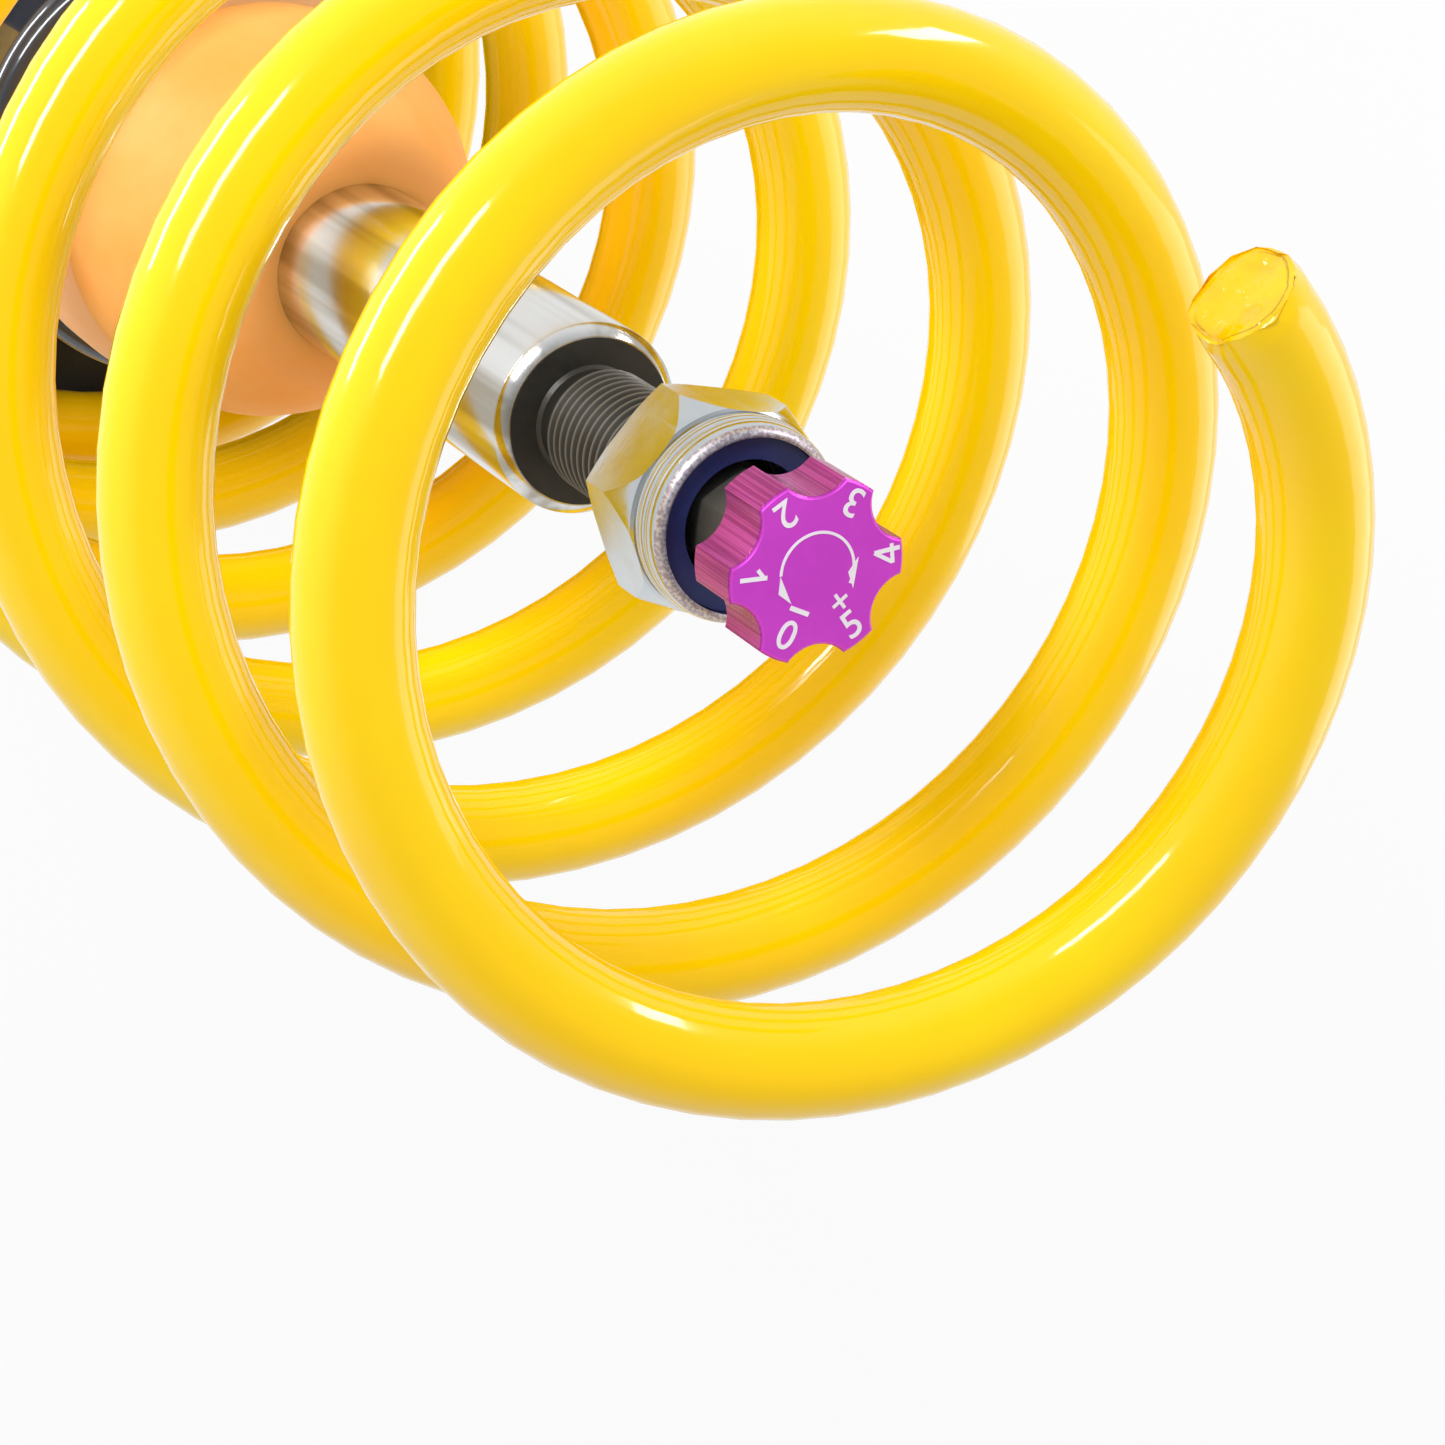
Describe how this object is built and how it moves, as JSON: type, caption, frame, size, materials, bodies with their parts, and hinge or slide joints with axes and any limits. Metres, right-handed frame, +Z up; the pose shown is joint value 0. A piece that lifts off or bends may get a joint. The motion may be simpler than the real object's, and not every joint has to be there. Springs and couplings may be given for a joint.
{
  "type": "coilover strut",
  "caption": "Adjustable front coilover strut: clamp tube with brackets, threaded spring perch, drawn-in coil spring, damper rod with bump stop, lock nut and damping adjuster knob.",
  "frame": {"origin": "centre of the strut tube's lower end, on the strut's axis", "axes": "+Z up along the strut's axis from the clamped end to the rod's end; +Y towards the link bracket; +X towards the hose bracket"},
  "size_m": [0.1256, 0.1254, 0.5381],
  "materials": {
    "spring_paint": "gloss",
    "tube_paint": "satin",
    "cap_gloss": "gloss",
    "chrome_rod": "polished",
    "zinc_plate": "satin",
    "steel": "satin",
    "spring_steel": "satin",
    "sintered": "matt",
    "black_oxide": "satin",
    "bronze": "satin",
    "band_polymer": "matt",
    "nylon": "satin",
    "anodised": "satin",
    "perch_alloy": "satin",
    "foam": "matt",
    "pad_rubber": "matt",
    "seal_rubber": "matt"
  },
  "bodies": {
    "strut": {"strut_tube": "tube_paint", "base_cap": "steel", "thread_sleeve": "zinc_plate", "sleeve_weld": "tube_paint", "link_bracket": "tube_paint", "hose_bracket": "tube_paint", "strut_cap": "cap_gloss", "rod_wiper": "seal_rubber", "working_cylinder": "steel", "base_valve": "sintered", "base_shims": "spring_steel", "base_rivet": "steel", "rod_guide": "sintered", "guide_bush": "bronze", "rod_seal": "seal_rubber", "gland_ring": "black_oxide"},
    "rod": {"piston_rod": "chrome_rod", "piston": "sintered", "piston_band": "band_polymer", "rebound_shims": "spring_steel", "compression_shims": "spring_steel", "piston_nut": "zinc_plate", "snap_ring": "spring_steel", "rebound_stop": "steel", "rebound_buffer": "seal_rubber", "top_nut": "zinc_plate", "nylon_insert": "nylon"},
    "knob": {"adjuster_knob": "anodised", "adjuster_shaft": "steel"},
    "needle": {"needle": "bronze"},
    "bump_stop": {"bump_stop": "foam"},
    "spring_carrier": {"main_spring": "spring_paint", "spring_pad": "pad_rubber"},
    "perch": {"perch_collar": "perch_alloy", "perch_insert": "zinc_plate", "lock_screw": "black_oxide"}
  },
  "joints": [
    {"name": "rod_slide", "type": "slide", "parent": "strut", "child": "rod", "axis": [0, 0, 1], "range_m": [-0.06, 0], "stiffness_N_per_m": 500, "springref_m": 0.24},
    {"name": "knob_turn", "type": "hinge", "parent": "rod", "child": "knob", "pos_m": [0, 0, 0.51], "axis": [0, 0, 1], "range_deg": [-300, 0]},
    {"name": "needle_slide", "type": "slide", "parent": "rod", "child": "needle", "axis": [0, 0, 1], "range_m": [-0.00085, 0.0002]},
    {"name": "bump_slide", "type": "slide", "parent": "strut", "child": "bump_stop", "axis": [0, 0, 1], "range_m": [0, 0.024]},
    {"name": "perch_lift", "type": "slide", "parent": "strut", "child": "spring_carrier", "axis": [0, 0, 1], "range_m": [-0.0201, 0.0161]},
    {"name": "perch_turn", "type": "hinge", "parent": "spring_carrier", "child": "perch", "pos_m": [0, 0, 0.27], "axis": [0, 0, 1], "range_deg": [-3600, 2880]}
  ],
  "couplings": [
    {"joint": "needle_slide", "follows": "knob_turn", "m_per_rad": 0.00015915},
    {"joint": "perch_lift", "follows": "perch_turn", "m_per_rad": 0.00031831}
  ]
}
